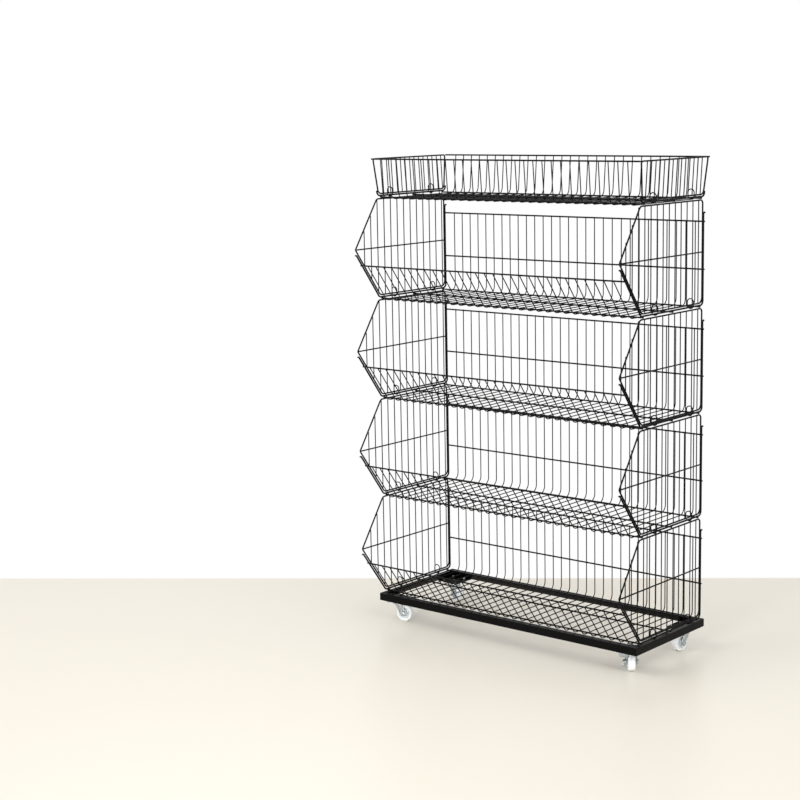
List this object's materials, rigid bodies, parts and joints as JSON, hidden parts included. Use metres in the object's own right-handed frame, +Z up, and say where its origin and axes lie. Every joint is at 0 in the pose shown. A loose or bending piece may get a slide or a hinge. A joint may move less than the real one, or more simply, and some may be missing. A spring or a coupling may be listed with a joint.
{
  "type": "wheeled wire basket display rack",
  "caption": "Black wire display rack on swivel casters: deep slanted-front baskets stacked on an angle-iron base, with a shallow tray on top and hinged side panels.",
  "frame": {"origin": "on the floor, under the middle of the rack's outline", "axes": "+X along the rack to its right end, -Y to its open front, +Z up"},
  "size_m": [0.9222, 0.4331, 1.3772],
  "materials": {
    "black_coat": "gloss black powder coat",
    "zinc_plate": "bright zinc plate",
    "white_nylon": "moulded white nylon"
  },
  "bodies": {
    "base": {"base_front_angle": "black_coat", "base_rear_angle": "black_coat", "base_left_angle": "black_coat", "base_right_angle": "black_coat", "corner_plates": "black_coat", "caster_bolts": "zinc_plate", "caster_nuts": "zinc_plate", "swivel_rivets": "zinc_plate", "swivel_balls": "zinc_plate", "front_left_caster_plate": "zinc_plate", "front_right_caster_plate": "zinc_plate", "rear_left_caster_plate": "zinc_plate", "rear_right_caster_plate": "zinc_plate"},
    "front_left_swivel": {"front_left_caster_fork": "zinc_plate", "front_left_caster_axle": "zinc_plate"},
    "front_left_wheel": {"front_left_caster_wheel": "white_nylon"},
    "front_left_brake": {"front_left_brake_lever": "zinc_plate"},
    "front_right_swivel": {"front_right_caster_fork": "zinc_plate", "front_right_caster_axle": "zinc_plate"},
    "front_right_wheel": {"front_right_caster_wheel": "white_nylon"},
    "front_right_brake": {"front_right_brake_lever": "zinc_plate"},
    "rear_left_swivel": {"rear_left_caster_fork": "zinc_plate", "rear_left_caster_axle": "zinc_plate"},
    "rear_left_wheel": {"rear_left_caster_wheel": "white_nylon"},
    "rear_right_swivel": {"rear_right_caster_fork": "zinc_plate", "rear_right_caster_axle": "zinc_plate"},
    "rear_right_wheel": {"rear_right_caster_wheel": "white_nylon"},
    "basket_1": {"basket_1_floor": "black_coat", "basket_1_back": "black_coat", "basket_1_fence": "black_coat", "basket_1_hinge_loops": "black_coat"},
    "basket_1_left_panel": {"basket_1_left_side": "black_coat"},
    "basket_1_right_panel": {"basket_1_right_side": "black_coat"},
    "basket_2": {"basket_2_floor": "black_coat", "basket_2_back": "black_coat", "basket_2_fence": "black_coat", "basket_2_hinge_loops": "black_coat"},
    "basket_2_left_panel": {"basket_2_left_side": "black_coat"},
    "basket_2_right_panel": {"basket_2_right_side": "black_coat"},
    "basket_3": {"basket_3_floor": "black_coat", "basket_3_back": "black_coat", "basket_3_fence": "black_coat", "basket_3_hinge_loops": "black_coat"},
    "basket_3_left_panel": {"basket_3_left_side": "black_coat"},
    "basket_3_right_panel": {"basket_3_right_side": "black_coat"},
    "basket_4": {"basket_4_floor": "black_coat", "basket_4_back": "black_coat", "basket_4_fence": "black_coat", "basket_4_hinge_loops": "black_coat"},
    "basket_4_left_panel": {"basket_4_left_side": "black_coat"},
    "basket_4_right_panel": {"basket_4_right_side": "black_coat"},
    "tray": {"tray_floor": "black_coat", "tray_back": "black_coat", "tray_front": "black_coat", "tray_hinge_loops": "black_coat"},
    "tray_left_panel": {"tray_left_side": "black_coat"},
    "tray_right_panel": {"tray_right_side": "black_coat"}
  },
  "joints": [
    {"name": "front_left_caster_swivel", "type": "hinge", "parent": "base", "child": "front_left_swivel", "pos_m": [-0.414, -0.09615, 0.055], "axis": [0, 0, 1], "continuous": true},
    {"name": "front_left_wheel_spin", "type": "hinge", "parent": "front_left_swivel", "child": "front_left_wheel", "pos_m": [-0.39487, -0.09031, 0.025], "axis": [-0.2924, 0.9563, 0], "continuous": true},
    {"name": "front_left_brake_press", "type": "hinge", "parent": "front_left_swivel", "child": "front_left_brake", "pos_m": [-0.39487, -0.09031, 0.025], "axis": [-0.2924, 0.9563, 0], "range_deg": [0, 15]},
    {"name": "front_right_caster_swivel", "type": "hinge", "parent": "base", "child": "front_right_swivel", "pos_m": [0.414, -0.09615, 0.055], "axis": [0, 0, 1], "continuous": true},
    {"name": "front_right_wheel_spin", "type": "hinge", "parent": "front_right_swivel", "child": "front_right_wheel", "pos_m": [0.40141, -0.08061, 0.025], "axis": [-0.7771, -0.6293, 0], "continuous": true},
    {"name": "front_right_brake_press", "type": "hinge", "parent": "front_right_swivel", "child": "front_right_brake", "pos_m": [0.40141, -0.08061, 0.025], "axis": [-0.7771, -0.6293, 0], "range_deg": [0, 15]},
    {"name": "rear_left_caster_swivel", "type": "hinge", "parent": "base", "child": "rear_left_swivel", "pos_m": [-0.414, 0.16985, 0.055], "axis": [0, 0, 1], "continuous": true},
    {"name": "rear_left_wheel_spin", "type": "hinge", "parent": "rear_left_swivel", "child": "rear_left_wheel", "pos_m": [-0.39587, 0.16139, 0.025], "axis": [0.4226, 0.9063, 0], "continuous": true},
    {"name": "rear_right_caster_swivel", "type": "hinge", "parent": "base", "child": "rear_right_swivel", "pos_m": [0.414, 0.16985, 0.055], "axis": [0, 0, 1], "continuous": true},
    {"name": "rear_right_wheel_spin", "type": "hinge", "parent": "rear_right_swivel", "child": "rear_right_wheel", "pos_m": [0.41156, 0.14999, 0.025], "axis": [0.9925, -0.1219, 0], "continuous": true},
    {"name": "basket_1_lift", "type": "slide", "parent": "base", "child": "basket_1", "axis": [0, 0, 1], "range_m": [0, 0.15]},
    {"name": "basket_1_left_panel_hinge", "type": "hinge", "parent": "basket_1", "child": "basket_1_left_panel", "pos_m": [-0.45, 0.04085, 0.09915], "axis": [0, -1, 0], "range_deg": [0, 90]},
    {"name": "basket_1_right_panel_hinge", "type": "hinge", "parent": "basket_1", "child": "basket_1_right_panel", "pos_m": [0.45, 0.04085, 0.09915], "axis": [0, 1, 0], "range_deg": [0, 90]},
    {"name": "basket_2_lift", "type": "slide", "parent": "basket_1", "child": "basket_2", "axis": [0, 0, 1], "range_m": [0, 0.15]},
    {"name": "basket_2_left_panel_hinge", "type": "hinge", "parent": "basket_2", "child": "basket_2_left_panel", "pos_m": [-0.45, 0.04085, 0.39305], "axis": [0, -1, 0], "range_deg": [0, 90]},
    {"name": "basket_2_right_panel_hinge", "type": "hinge", "parent": "basket_2", "child": "basket_2_right_panel", "pos_m": [0.45, 0.04085, 0.39305], "axis": [0, 1, 0], "range_deg": [0, 90]},
    {"name": "basket_3_lift", "type": "slide", "parent": "basket_2", "child": "basket_3", "axis": [0, 0, 1], "range_m": [0, 0.15]},
    {"name": "basket_3_left_panel_hinge", "type": "hinge", "parent": "basket_3", "child": "basket_3_left_panel", "pos_m": [-0.45, 0.04085, 0.68695], "axis": [0, -1, 0], "range_deg": [0, 90]},
    {"name": "basket_3_right_panel_hinge", "type": "hinge", "parent": "basket_3", "child": "basket_3_right_panel", "pos_m": [0.45, 0.04085, 0.68695], "axis": [0, 1, 0], "range_deg": [0, 90]},
    {"name": "basket_4_lift", "type": "slide", "parent": "basket_3", "child": "basket_4", "axis": [0, 0, 1], "range_m": [0, 0.15]},
    {"name": "basket_4_left_panel_hinge", "type": "hinge", "parent": "basket_4", "child": "basket_4_left_panel", "pos_m": [-0.45, 0.04085, 0.98085], "axis": [0, -1, 0], "range_deg": [0, 90]},
    {"name": "basket_4_right_panel_hinge", "type": "hinge", "parent": "basket_4", "child": "basket_4_right_panel", "pos_m": [0.45, 0.04085, 0.98085], "axis": [0, 1, 0], "range_deg": [0, 90]},
    {"name": "tray_lift", "type": "slide", "parent": "basket_4", "child": "tray", "axis": [0, 0, 1], "range_m": [0, 0.15]},
    {"name": "tray_left_panel_hinge", "type": "hinge", "parent": "tray", "child": "tray_left_panel", "pos_m": [-0.45, 0.04085, 1.27475], "axis": [0, -1, 0], "range_deg": [0, 90]},
    {"name": "tray_right_panel_hinge", "type": "hinge", "parent": "tray", "child": "tray_right_panel", "pos_m": [0.45, 0.04085, 1.27475], "axis": [0, 1, 0], "range_deg": [0, 90]}
  ]
}
